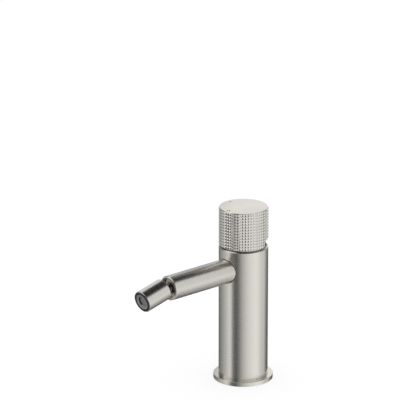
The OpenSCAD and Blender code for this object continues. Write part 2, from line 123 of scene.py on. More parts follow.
def turnPiece(name, outline, steps=192, closed=True):
    # outline: (radius, height) in mm, drawn point by point and spun round Z
    clearSelection()
    bpy.ops.mesh.primitive_plane_add(size=mm, location=(0, 0, 0))
    obj = bpy.context.object
    obj.name = obj.data.name = name
    bpy.ops.object.mode_set(mode="EDIT")
    bpy.ops.mesh.select_mode(type="VERT")
    bpy.ops.mesh.select_all(action="SELECT")
    bpy.ops.mesh.merge(type="CENTER")
    bpy.ops.transform.translate(value=(outline[0][0] * mm, 0, outline[0][1] * mm))
    for (r0, z0), (r1, z1) in zip(outline, outline[1:]):
        bpy.ops.mesh.extrude_region_move(
            TRANSFORM_OT_translate={"value": ((r1 - r0) * mm, 0, (z1 - z0) * mm)})
    if closed:
        bpy.ops.object.mode_set(mode="OBJECT")
        obj.data.vertices[0].select = True
        bpy.ops.object.mode_set(mode="EDIT")
        bpy.ops.mesh.edge_face_add()
    bpy.ops.mesh.select_all(action="SELECT")
    bpy.ops.mesh.spin(steps=steps, angle=2 * math.pi, center=(0, 0, 0), axis=(0, 0, 1))
    bpy.ops.mesh.select_all(action="SELECT")
    bpy.ops.mesh.remove_doubles(threshold=mergeReach * mm)
    bpy.ops.mesh.normals_make_consistent(inside=False)
    bpy.ops.object.mode_set(mode="OBJECT")
    return obj


def arcPoints(height, radius, start, end, count):
    # points on a circle about (0, height), angles in degrees from the radius direction
    angles = [math.radians(start + (end - start) * i / count) for i in range(count + 1)]
    return [(radius * math.cos(a), height + radius * math.sin(a)) for a in angles]


def roundPoints(radius, end, size, count=8):
    # a quarter round from the side of a turned piece to its end face; size < 0 for the lower end
    angles = [math.pi / 2 * i / count for i in range(count + 1)]
    points = [(radius - abs(size) * (1 - math.cos(a)), end - size * (1 - math.sin(a)))
              for a in angles]
    return points if size > 0 else points[::-1]


def softenEdges(obj, width, segments=2, limit=30):
    makeActive(obj)
    bevel = obj.modifiers.new("softEdges", "BEVEL")
    bevel.width = width * mm
    bevel.segments = segments
    bevel.limit_method = "ANGLE"
    bevel.angle_limit = math.radians(limit)
    bpy.ops.object.modifier_apply(modifier=bevel.name)


def cutWith(obj, cutter):
    makeActive(obj)
    cut = obj.modifiers.new("cut", "BOOLEAN")
    cut.operation = "DIFFERENCE"
    cut.solver = "EXACT"
    cut.object = cutter
    bpy.ops.object.modifier_apply(modifier=cut.name)
    bpy.data.objects.remove(cutter)


def drill(radius, start, end, sides=96):
    # a round cutter from one point to another, in mm
    clearSelection()
    a, b = Vector(start) * mm, Vector(end) * mm
    bpy.ops.mesh.primitive_cylinder_add(vertices=sides, radius=radius * mm, depth=(b - a).length,
                                        location=(a + b) / 2,
                                        rotation=(b - a).to_track_quat("Z", "Y").to_euler())
    return bpy.context.object


def evenShade(obj, angle=40):
    makeActive(obj)
    bpy.ops.object.shade_smooth_by_angle(angle=math.radians(angle))
    weighted = obj.modifiers.new("evenShade", "WEIGHTED_NORMAL")
    weighted.keep_sharp = True
    bpy.ops.object.modifier_apply(modifier=weighted.name)


def dressFaces(obj, material, test):
    # a second material on some of a piece's faces, used here for painted shade and painted light, and for the flange
    # top's smoother polish
    obj.data.materials.append(material)
    pickFaces(obj, test)
    obj.active_material_index = len(obj.data.materials) - 1
    bpy.ops.object.material_slot_assign()
    bpy.ops.object.mode_set(mode="OBJECT")


def finishPiece(obj, material, body, nodes):
    obj.data.materials.append(material)
    ridePiece(obj, body, nodes)


def ridePiece(obj, body, nodes):
    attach(obj, body)
    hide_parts(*nodes)


# Shared surface effects

lineShape = {
    "radiusShare": 1.37,      # how fast the lines follow each other on flat faces, against sides
    "fine": (1.0, 3.0), "broad": (0.16, 2.0),      # share of the line count, detail
    "roughness": 0.55, "fineMix": 0.4, "broadMix": 0.6,
}
grainShape = {"grain": (4.0, 0.6), "cloud": (2.0, 0.5)}      # detail, roughness
brushTurn = 0.25      # a quarter turn lays the highlights across the brush lines


def newGroup(name, inputs, outputs):
    group = bpy.data.node_groups.new(name, "ShaderNodeTree")
    for socket, kind in inputs:
        group.interface.new_socket(name=socket, in_out="INPUT", socket_type=kind)
    for socket in outputs:
        group.interface.new_socket(name=socket, in_out="OUTPUT", socket_type="NodeSocketFloat")
    return group, group.nodes.new("NodeGroupInput"), group.nodes.new("NodeGroupOutput")


def mathNode(tree, operation, a, b=None, c=None):
    node = tree.nodes.new("ShaderNodeMath")
    node.operation = operation
    for i, value in enumerate((a, b, c)):
        if value is None:
            continue
        if isinstance(value, (int, float)):
            node.inputs[i].default_value = value
        else:
            tree.links.new(value, node.inputs[i])
    return node.outputs[0]


def noiseNode(tree, vector, scale, detail, roughness):
    node = tree.nodes.new("ShaderNodeTexNoise")
    node.inputs["Detail"].default_value = detail
    node.inputs["Roughness"].default_value = roughness
    if isinstance(scale, (int, float)):
        node.inputs["Scale"].default_value = scale
    else:
        tree.links.new(scale, node.inputs["Scale"])
    tree.links.new(vector, node.inputs["Vector"])
    return node.outputs["Fac"]


def buildTurnedLines():
    # lathe and brush lines that run round local Z, on sides and on flat faces alike
    inputs = [("Position", "NodeSocketVector"), ("Lines", "NodeSocketFloat"), ("Drift", "NodeSocketFloat")]
    group, given, result = newGroup("turnedLines", inputs, ["Fine", "Broad"])
    split = group.nodes.new("ShaderNodeSeparateXYZ")
    group.links.new(given.outputs["Position"], split.inputs[0])
    flat = group.nodes.new("ShaderNodeCombineXYZ")
    group.links.new(split.outputs["X"], flat.inputs["X"])
    group.links.new(split.outputs["Y"], flat.inputs["Y"])
    length = group.nodes.new("ShaderNodeVectorMath")
    length.operation = "LENGTH"
    group.links.new(flat.outputs[0], length.inputs[0])
    unit = group.nodes.new("ShaderNodeVectorMath")
    unit.operation = "NORMALIZE"
    group.links.new(flat.outputs[0], unit.inputs[0])
    around = group.nodes.new("ShaderNodeSeparateXYZ")
    group.links.new(unit.outputs[0], around.inputs[0])
    along = mathNode(group, "MULTIPLY_ADD", length.outputs["Value"], lineShape["radiusShare"], split.outputs["Z"])
    drift = given.outputs["Drift"]
    for name, (share, detail) in (("Fine", lineShape["fine"]), ("Broad", lineShape["broad"])):
        spot = group.nodes.new("ShaderNodeCombineXYZ")
        for side in ("X", "Y"):
            group.links.new(mathNode(group, "MULTIPLY", around.outputs[side], drift), spot.inputs[side])
        lines = mathNode(group, "MULTIPLY", given.outputs["Lines"], share)
        group.links.new(mathNode(group, "MULTIPLY", along, lines), spot.inputs["Z"])
        noise = noiseNode(group, spot.outputs[0], 1.0, detail, lineShape["roughness"])
        group.links.new(noise, result.inputs[name])
    return group


def buildGrain():
    # fine speckle and broad cloudiness of castings, mouldings and rubber
    inputs = [("Position", "NodeSocketVector"), ("Grain Scale", "NodeSocketFloat"),
              ("Cloud Scale", "NodeSocketFloat")]
    group, given, result = newGroup("surfaceGrain", inputs, ["Grain", "Cloud"])
    for name, (detail, roughness) in (("Grain", grainShape["grain"]), ("Cloud", grainShape["cloud"])):
        noise = noiseNode(group, given.outputs["Position"], given.outputs[name + " Scale"], detail, roughness)
        group.links.new(noise, result.inputs[name])
    return group


def newMaterial(name):
    material = bpy.data.materials.new(name)
    material.use_nodes = True
    tree = material.node_tree
    tree.nodes.clear()
    output = tree.nodes.new("ShaderNodeOutputMaterial")
    shader = tree.nodes.new("ShaderNodeBsdfPrincipled")
    tree.links.new(shader.outputs[0], output.inputs["Surface"])
    return material, tree, shader


def blendColours(tree, factor, dark, light):
    node = tree.nodes.new("ShaderNodeMix")
    node.data_type = "RGBA"
    node.inputs["A"].default_value = (*dark, 1)
    node.inputs["B"].default_value = (*light, 1)
    tree.links.new(factor, node.inputs["Factor"])
    return node.outputs["Result"]


def spread(tree, value, low, high, fromLow=0.25, fromHigh=0.75):
    node = tree.nodes.new("ShaderNodeMapRange")
    node.inputs["From Min"].default_value = fromLow
    node.inputs["From Max"].default_value = fromHigh
    node.inputs["To Min"].default_value = low
    node.inputs["To Max"].default_value = high
    tree.links.new(value, node.inputs["Value"])
    return node.outputs["Result"]


def addBump(tree, shader, height, strength, distance):
    bump = tree.nodes.new("ShaderNodeBump")
    bump.inputs["Strength"].default_value = strength
    bump.inputs["Distance"].default_value = distance * mm
    tree.links.new(height, bump.inputs["Height"])
    tree.links.new(bump.outputs[0], shader.inputs["Normal"])


def placedPosition(tree, centre, tilt):
    # Object coordinates moved to the turning axis, tilt in degrees about X
    coords = tree.nodes.new("ShaderNodeTexCoord")
    mapping = tree.nodes.new("ShaderNodeMapping")
    mapping.vector_type = "TEXTURE"
    mapping.inputs["Location"].default_value = [c * mm for c in centre]
    mapping.inputs["Rotation"].default_value = (math.radians(tilt), 0, 0)
    tree.links.new(coords.outputs["Object"], mapping.inputs["Vector"])
    return coords.outputs["Object"], mapping.outputs[0]


turnedLines = buildTurnedLines()
surfaceGrain = buildGrain()


def brushedMetal(name, finish, centre=(0, 0, 0), tilt=0.0):
    material, tree, shader = newMaterial(name)
    objectPlace, place = placedPosition(tree, centre, tilt)
    lines = tree.nodes.new("ShaderNodeGroup")
    lines.node_tree = turnedLines
    lines.inputs["Lines"].default_value = finish["lines"]
    lines.inputs["Drift"].default_value = finish["drift"]
    tree.links.new(place, lines.inputs["Position"])
    fine = mathNode(tree, "MULTIPLY", lines.outputs["Fine"], lineShape["fineMix"])
    both = mathNode(tree, "MULTIPLY_ADD", lines.outputs["Broad"], lineShape["broadMix"], fine)
    tree.links.new(blendColours(tree, both, finish["dark"], finish["light"]), shader.inputs["Base Color"])
    tree.links.new(spread(tree, both, *finish["roughness"]), shader.inputs["Roughness"])
    addBump(tree, shader, lines.outputs["Fine"], finish["bump"], finish["bumpDepth"])
    shader.inputs["Metallic"].default_value = 1.0
    shader.inputs["Anisotropic"].default_value = finish["anisotropy"]
    shader.inputs["Anisotropic Rotation"].default_value = brushTurn
    # the brush runs round the turning axis
    axis = Vector((0, -math.sin(math.radians(tilt)), math.cos(math.radians(tilt))))
    offset = tree.nodes.new("ShaderNodeVectorMath")
    offset.operation = "SUBTRACT"
    offset.inputs[1].default_value = [c * mm for c in centre]
    tree.links.new(objectPlace, offset.inputs[0])
    groove = tree.nodes.new("ShaderNodeVectorMath")
    groove.operation = "CROSS_PRODUCT"
    groove.inputs[0].default_value = axis
    tree.links.new(offset.outputs[0], groove.inputs[1])
    toWorld = tree.nodes.new("ShaderNodeVectorTransform")
    toWorld.vector_type = "VECTOR"
    toWorld.convert_from = "OBJECT"
    toWorld.convert_to = "WORLD"
    tree.links.new(groove.outputs[0], toWorld.inputs[0])
    unit = tree.nodes.new("ShaderNodeVectorMath")
    unit.operation = "NORMALIZE"
    tree.links.new(toWorld.outputs[0], unit.inputs[0])
    tree.links.new(unit.outputs[0], shader.inputs["Tangent"])
    return material


def grainedSurface(name, finish):
    material, tree, shader = newMaterial(name)
    coords = tree.nodes.new("ShaderNodeTexCoord")
    grain = tree.nodes.new("ShaderNodeGroup")
    grain.node_tree = surfaceGrain
    grain.inputs["Grain Scale"].default_value = finish["grain"]
    grain.inputs["Cloud Scale"].default_value = finish["cloud"]
    tree.links.new(coords.outputs["Object"], grain.inputs["Position"])
    colour = blendColours(tree, grain.outputs["Cloud"], finish["dark"], finish["light"])
    tree.links.new(colour, shader.inputs["Base Color"])
    tree.links.new(spread(tree, grain.outputs["Grain"], *finish["roughness"]), shader.inputs["Roughness"])
    addBump(tree, shader, grain.outputs["Grain"], finish["bump"], finish["bumpDepth"])
    shader.inputs["Metallic"].default_value = finish.get("metallic", 0.0)
    return material


# Finishes

ballCentre = (0, -98.3, 107.4)
nozzleTilt = 14.0

nickelFinish = {
    "dark": (0.712, 0.688, 0.640), "light": (0.768, 0.746, 0.700),
    "lines": 7000.0, "drift": 1.2, "roughness": (0.25, 0.31),
    "bump": 0.05, "bumpDepth": 0.015, "anisotropy": 0.35,
}
# The spout and nozzle take darker copies of the nickel and the cap a lighter one: painted shade and painted light on
# the same plating.
spoutFinish = dict(nickelFinish, dark=(0.692, 0.670, 0.623), light=(0.748, 0.727, 0.682))
nozzleFinish = dict(nickelFinish, dark=(0.664, 0.642, 0.597), light=(0.716, 0.696, 0.653))
capFinish = dict(nickelFinish, dark=(0.742, 0.714, 0.655), light=(0.786, 0.760, 0.702),
                 roughness=(0.17, 0.22))
# the flange top's lower roughness is its smoother polish; its darker, browner colour is painted shade
shadedFlangeTopFinish = dict(nickelFinish, dark=(0.676, 0.648, 0.588), light=(0.720, 0.694, 0.636),
                       roughness=(0.09, 0.13))
knurlFinish = {
    "dark": (0.70, 0.675, 0.63), "light": (0.79, 0.77, 0.73), "metallic": 1.0,
    "grain": 2600.0, "cloud": 90.0, "roughness": (0.07, 0.11), "bump": 0.03, "bumpDepth": 0.02,
}
# darker copy of the nickel for the spout's mouth and the ball: painted shade of the narrow gap, where little light
# gets in
shadedNickelFinish = {
    "dark": (0.38, 0.36, 0.325), "light": (0.45, 0.43, 0.39),
    "lines": 6000.0, "drift": 1.2, "roughness": (0.12, 0.18),
    "bump": 0.05, "bumpDepth": 0.01, "anisotropy": 0.2,
}
brassFinish = {
    "dark": (0.66, 0.47, 0.20), "light": (0.80, 0.60, 0.29),
    "lines": 2600.0, "drift": 1.0, "roughness": (0.26, 0.40),
    "bump": 0.25, "bumpDepth": 0.03, "anisotropy": 0.3,
}
steelFinish = {
    "dark": (0.55, 0.55, 0.56), "light": (0.66, 0.66, 0.67), "metallic": 1.0,
    "grain": 1800.0, "cloud": 120.0, "roughness": (0.24, 0.36), "bump": 0.1, "bumpDepth": 0.02,
}
dieCastFinish = {
    "dark": (0.50, 0.50, 0.51), "light": (0.62, 0.62, 0.63), "metallic": 1.0,
    "grain": 900.0, "cloud": 140.0, "roughness": (0.38, 0.52), "bump": 0.25, "bumpDepth": 0.04,
}
rubberFinish = {
    "dark": (0.016, 0.016, 0.017), "light": (0.028, 0.028, 0.030),
    "grain": 1500.0, "cloud": 200.0, "roughness": (0.50, 0.68), "bump": 0.2, "bumpDepth": 0.03,
}
whiteAcetalFinish = {
    "dark": (0.68, 0.67, 0.63), "light": (0.78, 0.77, 0.73),
    "grain": 1200.0, "cloud": 110.0, "roughness": (0.34, 0.46), "bump": 0.1, "bumpDepth": 0.02,
}
ceramicFinish = {
    "dark": (0.80, 0.78, 0.72), "light": (0.87, 0.86, 0.81),
    "grain": 3000.0, "cloud": 160.0, "roughness": (0.08, 0.14), "bump": 0.03, "bumpDepth": 0.01,
}
blackAcetalFinish = {
    "dark": (0.010, 0.010, 0.011), "light": (0.018, 0.018, 0.019),
    "grain": 1600.0, "cloud": 220.0, "roughness": (0.36, 0.48), "bump": 0.15, "bumpDepth": 0.02,
}
greyAcetalFinish = {
    "dark": (0.270, 0.271, 0.272), "light": (0.330, 0.331, 0.332),
    "grain": 1600.0, "cloud": 220.0, "roughness": (0.42, 0.54), "bump": 0.15, "bumpDepth": 0.02,
}
# lighter copy of the grey acetal for the insert's rim wall: painted light, as if lit from one side
litRimAcetalFinish = dict(greyAcetalFinish, dark=(0.48, 0.48, 0.48), light=(0.54, 0.54, 0.54))

nickelUpright = brushedMetal("satinNickelUpright", nickelFinish)
nickelSpout = brushedMetal("satinNickelSpout", spoutFinish, (0, 0, ballCentre[2]), 90.0)
nickelNozzle = brushedMetal("satinNickelNozzle", nozzleFinish, ballCentre, 90.0 + nozzleTilt)
nickelCap = brushedMetal("satinNickelCap", capFinish)
shadedFlangeTop = brushedMetal("satinNickelShadedFlangeTop", shadedFlangeTopFinish)
nickelKnurl = grainedSurface("satinNickelKnurl", knurlFinish)
shadedNickel = brushedMetal("shadedNickel", shadedNickelFinish, (0, 0, ballCentre[2]), 90.0)
turnedBrass = brushedMetal("turnedBrass", brassFinish)
brightSteel = grainedSurface("brightSteel", steelFinish)
dieCast = grainedSurface("dieCast", dieCastFinish)
blackRubber = grainedSurface("blackRubber", rubberFinish)
whiteAcetal = grainedSurface("whiteAcetal", whiteAcetalFinish)
paleCeramic = grainedSurface("paleCeramic", ceramicFinish)
blackAcetal = grainedSurface("blackAcetal", blackAcetalFinish)
greyAcetal = grainedSurface("greyAcetal", greyAcetalFinish)
litRimAcetal = grainedSurface("litRimAcetal", litRimAcetalFinish)
print("finishes built")


# Flange

flange = {
    "bore": 14.0, "radius": 27.25, "height": 4.0, "chamfer": 0.2,
    "ringIn": 21.4, "ringOut": 24.6, "ringDepth": 2.0,      # groove of the seal underneath
    "seatIn": 19.4, "seatOut": 22.6, "seatFloor": 3.2,      # groove the body stands in
    "edge": 0.06, "topBand": 0.05,      # faces this close to the top get the smoother finish, darkened with painted shade
}


def makeFlange():
    f = flange
    outline = [
        (f["bore"], 0), (f["ringIn"], 0), (f["ringIn"], f["ringDepth"]), (f["ringOut"], f["ringDepth"]),
        (f["ringOut"], 0), (f["radius"], 0), (f["radius"], f["height"] - f["chamfer"]),
        (f["radius"] - f["chamfer"], f["height"]), (f["seatOut"], f["height"]), (f["seatOut"], f["seatFloor"]),
        (f["seatIn"], f["seatFloor"]), (f["seatIn"], f["height"]), (f["bore"], f["height"]),
    ]
    obj = turnPiece("deckFlange", outline)
    softenEdges(obj, f["edge"])
    evenShade(obj)
    obj.data.materials.append(nickelUpright)
    # the flange top takes the smoother polish and the painted shade
    dressFaces(obj, shadedFlangeTop, lambda c, normal: normal.z > 0.9 and c.z / mm > f["height"] - f["topBand"])
    ridePiece(obj, "mixer_body", ["base_flange"])


# Body shell

shell = {
    "radius": 22.5, "bore": 19.5, "bottom": 3.2, "top": 127.5, "chamfer": 0.8, "edge": 0.1,
    "lip": 21.1, "lipFoot": 125.0,      # thin lip at the top, with a step inside it
    "spoutHole": 11.65, "spoutHeight": 107.4, "holeReach": 30.0,
    "steps": 256, "holeSides": 160,
}


def makeShell():
    s = shell
    outline = [
        (s["bore"], s["bottom"]), (s["radius"], s["bottom"]), (s["radius"], s["top"] - s["chamfer"]),
        (s["radius"] - s["chamfer"], s["top"]), (s["lip"], s["top"]), (s["lip"], s["lipFoot"]),
        (s["bore"], s["lipFoot"]),
    ]
    obj = turnPiece("bodyShell", outline, s["steps"])
    softenEdges(obj, s["edge"])
    cutWith(obj, drill(s["spoutHole"], (0, 0, s["spoutHeight"]), (0, -s["holeReach"], s["spoutHeight"]),
                       s["holeSides"]))
    evenShade(obj)
    finishPiece(obj, nickelUpright, "mixer_body", ["body_shell"])


# Spout tube, measured along its axis from the tap's axis

spout = {
    "radius": 11.25, "root": 15.53, "end": 90.3, "round": 1.3, "bore": 8.5, "boreStart": 18.53,
    "mouth": 9.75, "mouthDepth": 3.0, "socket": 5.5, "socketStart": 78.3,
    "spigot": 7.9, "spigotStart": 8.53, "spigotBore": 5.5,
    "ringFloor": 6.9, "ringStart": 11.13, "ringEnd": 12.93, "edge": 0.12,
    "shadeOver": 0.02, "shadeShort": 0.05,      # how far the mouth's painted shade reaches out, and stops short
}


def layAlongSpout(obj):
    obj.rotation_euler = (math.radians(90), 0, 0)
    obj.location = (0, 0, ballCentre[2] * mm)
    applyPlace(obj)


def layAlongNozzle(obj):
    obj.rotation_euler = (math.radians(90 + nozzleTilt), 0, 0)
    obj.location = Vector(ballCentre) * mm
    applyPlace(obj)


def makeSpout():
    s = spout
    outline = [
        (s["spigotBore"], s["spigotStart"]), (s["spigot"], s["spigotStart"]), (s["spigot"], s["ringStart"]),
        (s["ringFloor"], s["ringStart"]), (s["ringFloor"], s["ringEnd"]), (s["spigot"], s["ringEnd"]),
        (s["spigot"], s["root"]), (s["radius"], s["root"]),
    ] + roundPoints(s["radius"], s["end"], s["round"]) + [
        (s["mouth"], s["end"]), (s["mouth"], s["end"] - s["mouthDepth"]),
        (s["socket"], s["end"] - s["mouthDepth"]), (s["socket"], s["socketStart"]),
        (s["bore"], s["socketStart"]), (s["bore"], s["boreStart"]), (s["spigotBore"], s["boreStart"]),
    ]
    obj = turnPiece("spoutTube", outline)
    softenEdges(obj, s["edge"])
    evenShade(obj)
    obj.data.materials.append(nickelSpout)
    # the mouth's inner faces take the painted shade
    dressFaces(obj, shadedNickel, lambda c, normal: math.hypot(c.x, c.y) / mm < s["mouth"] + s["shadeOver"]
               and s["socketStart"] < c.z / mm < s["end"] - s["shadeShort"])
    layAlongSpout(obj)
    ridePiece(obj, "mixer_body", ["spout_tube"])


# Ball and stem, measured along the spout's axis

ballStem = {
    "bore": 2.85, "shank": 5.45, "shankStart": 76.3, "shankEnd": 90.3, "neck": 4.35, "ball": 7.5,
    "ringFloor": 4.25, "ringStart": 83.5, "ringEnd": 85.1, "edge": 0.1, "steps": 128, "ballSteps": 40,
}


def makeBallStem():
    b = ballStem
    centre = -ballCentre[1]
    neckAngle = -math.degrees(math.acos(b["neck"] / b["ball"]))
    mouthAngle = math.degrees(math.acos(b["bore"] / b["ball"]))
    outline = [
        (b["bore"], b["shankStart"]), (b["shank"], b["shankStart"]), (b["shank"], b["ringStart"]),
        (b["ringFloor"], b["ringStart"]), (b["ringFloor"], b["ringEnd"]), (b["shank"], b["ringEnd"]),
        (b["shank"], b["shankEnd"]), (b["neck"], b["shankEnd"]),
    ] + arcPoints(centre, b["ball"], neckAngle, mouthAngle, b["ballSteps"])
    obj = turnPiece("ballStem", outline, b["steps"])
    softenEdges(obj, b["edge"])
    evenShade(obj)
    layAlongSpout(obj)
    # the ball and stem are darkened all over: painted shade of the gap round them
    finishPiece(obj, shadedNickel, "mixer_body", ["ball_stem"])


# Liner that turns sideways round the ball

liner = {"outer": 8.4, "inner": 7.6, "back": -3.0, "front": 3.9, "edge": 0.08, "steps": 128, "wallSteps": 20}


def makeLiner():
    n = liner
    centre = -ballCentre[1]
    outline = []
    for wall, first, last in (("outer", "back", "front"), ("inner", "front", "back")):
        start, end = (math.degrees(math.asin(n[rim] / n[wall])) for rim in (first, last))
        outline += arcPoints(centre, n[wall], start, end, n["wallSteps"])
    obj = turnPiece("ballLiner", outline, n["steps"])
    softenEdges(obj, n["edge"])
    evenShade(obj)
    layAlongSpout(obj)
    finishPiece(obj, blackAcetal, "swivel_ring", ["ball_liner"])


# Nozzle shell, measured along its axis from the ball's centre

nozzle = {
    "radius": 10.0, "back": -3.0, "front": 22.8, "chamfer": 0.4, "round": 1.1, "socket": 8.5, "edge": 0.1,
    "socketSteps": 12,
}


def makeNozzle():
    n = nozzle
    backAngle = math.degrees(math.asin(n["back"] / n["socket"]))
    outline = arcPoints(0, n["socket"], 0, backAngle, n["socketSteps"])
    outline += roundPoints(n["radius"], n["back"], -n["round"])
    outline += [
        (n["radius"], n["front"] - n["chamfer"]), (n["radius"] - n["chamfer"], n["front"]),
        (n["socket"], n["front"]),
    ]
    obj = turnPiece("nozzleShell", outline)
    softenEdges(obj, n["edge"])
    evenShade(obj)
    layAlongNozzle(obj)
    finishPiece(obj, nickelNozzle, "nozzle", ["nozzle_shell"])


# Aerator housing with its collar and two key slots

housing = {
    "back": 12.3, "front": 23.4, "radius": 8.4, "bore": 7.35, "floor": 13.5, "outlet": 5.0,
    "collar": 9.5, "collarBack": 22.85,
    "slotWidth": 2.0, "slotDepth": 0.8, "slotTurn": 19.0, "slotReach": 40.0, "edge": 0.12, "steps": 128,
}


def makeHousing():
    h = housing
    outline = [
        (h["outlet"], h["back"]), (h["radius"], h["back"]), (h["radius"], h["collarBack"]),
        (h["collar"], h["collarBack"]), (h["collar"], h["front"]),
        (h["bore"], h["front"]), (h["bore"], h["floor"]), (h["outlet"], h["floor"]),
    ]
    obj = turnPiece("aeratorHousing", outline, h["steps"])
    softenEdges(obj, h["edge"])
    clearSelection()
    bpy.ops.mesh.primitive_cube_add(size=1, location=(0, 0, h["front"] * mm))
    key = bpy.context.object
    bpy.ops.object.mode_set(mode="EDIT")
    bpy.ops.transform.resize(value=(h["slotWidth"] * mm, h["slotReach"] * mm, 2 * h["slotDepth"] * mm))
    bpy.ops.object.mode_set(mode="OBJECT")
    key.rotation_euler.z = math.radians(h["slotTurn"])
    cutWith(obj, key)
    evenShade(obj)
    layAlongNozzle(obj)
    finishPiece(obj, blackAcetal, "nozzle", ["aerator_housing"])


# Aerator insert with its pit and jets

insert = {
    "radius": 7.3, "back": 13.5, "front": 23.1, "face": 22.5, "hollow": 6.9, "web": 19.8,
    "pit": 5.0, "pitFloor": 20.9,
    "shadeFrom": 130.0, "shadeTo": 238.0,      # painted shade on part of the pit's wall, degrees round it
    "wallReach": 0.15, "rimReach": 0.12,     # how near a face is to the wall or the rim it belongs to
    "jet": 0.35, "jetRings": 2, "jetPitch": 1.77, "jetSides": 20, "edge": 0.1, "steps": 128,
}


def makeInsert():
    n = insert
    outline = [
        (0, n["web"]), (n["hollow"], n["web"]), (n["hollow"], n["back"]), (n["radius"], n["back"]),
        (n["radius"], n["front"]), (n["hollow"], n["front"]), (n["hollow"], n["face"]), (n["pit"], n["face"]),
        (n["pit"], n["pitFloor"]), (0, n["pitFloor"]),
    ]
    obj = turnPiece("aeratorInsert", outline, n["steps"], closed=False)
    softenEdges(obj, n["edge"])
    jets = [drill(n["jet"], (0, 0, n["web"] - overCut), (0, 0, n["face"] + overCut), n["jetSides"])]
    for ring in range(1, n["jetRings"] + 1):
        for k in range(6 * ring):
            jet = jets[0].copy()
            jet.data = jets[0].data.copy()
            scene.collection.objects.link(jet)
            angle = math.radians(60 * k / ring)
            jet.location.x = ring * n["jetPitch"] * math.cos(angle) * mm
            jet.location.y = ring * n["jetPitch"] * math.sin(angle) * mm
            jets.append(jet)
    clearSelection()
    for jet in jets:
        jet.select_set(True)
    bpy.context.view_layer.objects.active = jets[0]
    bpy.ops.object.join()
    cutWith(obj, jets[0])
    evenShade(obj)
    obj.data.materials.append(greyAcetal)
    # black on one side of the pit's wall: painted shade
    dressFaces(obj, blackRubber, lambda c, normal: abs(math.hypot(c.x, c.y) / mm - n["pit"]) < n["wallReach"]
               and n["pitFloor"] < c.z / mm < n["face"] - 0.05
               and n["shadeFrom"] < math.degrees(math.atan2(c.y, c.x)) % 360 < n["shadeTo"])
    # the rim's inner wall is lightened: painted light
    dressFaces(obj, litRimAcetal, lambda c, normal: abs(math.hypot(c.x, c.y) / mm - n["hollow"]) < n["rimReach"]
               and n["face"] < c.z / mm < n["front"] + 0.1)
    layAlongNozzle(obj)
    ridePiece(obj, "nozzle", ["aerator_insert"])


# Knurled handle sleeve

sleeve = {
    "bottom": 128.7, "land": 0.25, "top": 163.9, "valley": 22.04, "tip": 22.5, "flank": 0.98, "bore": 18.9,
    "columns": 54, "rows": 13, "turn": 0.9, "edge": 0.05,
    "notchFront": 5.8, "notchTop": 134.7, "notchCorner": 5.0, "cornerSteps": 20,
    "notchWide": 60.0, "notchDeep": 40.0, "notchBelow": 5.0,      # size of the block that cuts it
    "plugHole": 2.8, "plugHeight": 154.91, "plugHoleStart": 10.0, "plugHoleEnd": 30.0,
    "boreSides": 160, "plugSides": 48, "creaseLimit": 15, "shadeLimit": 24,
}


def makeSleeve():
    s = sleeve
    low = s["bottom"] + s["land"]
    step = 360 / s["columns"]
    clearSelection()
    bpy.ops.mesh.primitive_cylinder_add(vertices=s["columns"], radius=s["valley"] * mm,
                                        depth=(s["top"] - low) * mm, location=(0, 0, (s["top"] + low) / 2 * mm),
                                        rotation=(0, 0, math.radians((s["turn"] - 90) % step)))
    obj = bpy.context.object
    obj.name = obj.data.name = "handleSleeve"
    applyPlace(obj)
    pickEdges(obj, lambda a, b: abs(a.z - b.z) > mm)
    bpy.ops.mesh.subdivide(number_cuts=s["rows"] - 1)
    bpy.ops.object.mode_set(mode="OBJECT")
    pickFaces(obj, lambda c, normal: normal.z < -0.5)
    bpy.ops.mesh.extrude_region_move(TRANSFORM_OT_translate={"value": (0, 0, -s["land"] * mm)})
    bpy.ops.object.mode_set(mode="OBJECT")
    pickFaces(obj, lambda c, normal: abs(normal.z) < 0.1 and c.z > low * mm)
    bpy.ops.mesh.inset(thickness=s["flank"] * mm, use_individual=True,
                       depth=(s["tip"] - s["valley"] * math.cos(math.radians(step / 2))) * mm)
    bpy.ops.object.mode_set(mode="OBJECT")
    softenEdges(obj, s["edge"], 1, s["creaseLimit"])
    cutWith(obj, drill(s["bore"], (0, 0, s["bottom"] - overCut), (0, 0, s["top"] + overCut), s["boreSides"]))
    cutWith(obj, notchCutter())
    cutWith(obj, drill(s["plugHole"], (0, s["plugHoleStart"], s["plugHeight"]),
                       (0, s["plugHoleEnd"], s["plugHeight"]), s["plugSides"]))
    evenShade(obj, s["shadeLimit"])
    finishPiece(obj, nickelKnurl, "handle", ["handle_sleeve"])


def notchCutter():
    s = sleeve
    front, top, low = s["notchFront"], s["notchTop"], s["bottom"] - s["notchBelow"]
    clearSelection()
    bpy.ops.mesh.primitive_cube_add(size=1, location=(0, 0, 0))
    obj = bpy.context.object
    bpy.ops.object.mode_set(mode="EDIT")
    bpy.ops.transform.resize(value=(s["notchWide"] * mm, s["notchDeep"] * mm, (top - low) * mm))
    bpy.ops.transform.translate(value=(0, (front + s["notchDeep"] / 2) * mm, (top + low) / 2 * mm))
    bpy.ops.object.mode_set(mode="OBJECT")
    pickEdges(obj, lambda a, b: max(a.y, b.y) < (front + 1) * mm and min(a.z, b.z) > (top - 1) * mm)
    bpy.ops.mesh.bevel(offset=s["notchCorner"] * mm, segments=s["cornerSteps"])
    bpy.ops.object.mode_set(mode="OBJECT")
    return obj


# Handle cap, with pits for the index marks

cap = {
    "plug": 18.8, "plugBottom": 160.4, "rim": 21.9, "rimBottom": 163.9, "top": 164.4, "bevel": 0.14, "edge": 0.05,
    "dot": (-18.2, 0.0), "dotRadius": 0.77, "dotSides": 48,
    "ring": (0.0, -18.2), "ringOut": 1.42, "ringIn": 0.83, "ringSides": 64, "markDepth": 0.4,
}


